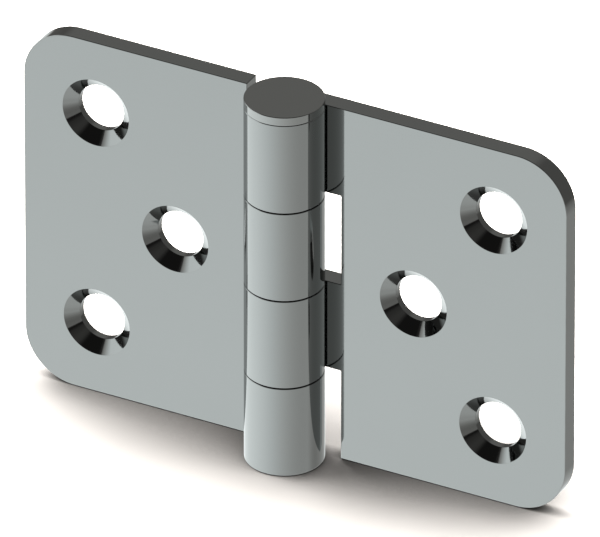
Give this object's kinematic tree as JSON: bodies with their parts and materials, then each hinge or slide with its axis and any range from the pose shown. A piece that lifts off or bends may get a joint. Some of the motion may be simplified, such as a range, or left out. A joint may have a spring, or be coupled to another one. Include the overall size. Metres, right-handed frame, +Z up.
{
  "type": "sheet metal hinge",
  "caption": "Flat butt hinge with two rolled sheet leaves on a disc-headed pin, rounded outer corners and countersunk screw holes.",
  "frame": {"origin": "on the pin's axis, level with the leaves' lower edges", "axes": "+Z up along the pin towards its head, +X towards the right leaf, +Y out of the mounting back faces"},
  "size_m": [0.06, 0.008, 0.041],
  "materials": {
    "leaf": "satin",
    "pin": "satin"
  },
  "bodies": {
    "right_side": {"leaf_right": "leaf", "hinge_pin": "pin"},
    "left_side": {"leaf_left": "leaf"}
  },
  "joints": [
    {"name": "leaf_swing", "type": "hinge", "parent": "right_side", "child": "left_side", "pos_m": [0, 0, 0.02], "axis": [0, 0, 1], "range_deg": [-104, 187]}
  ]
}
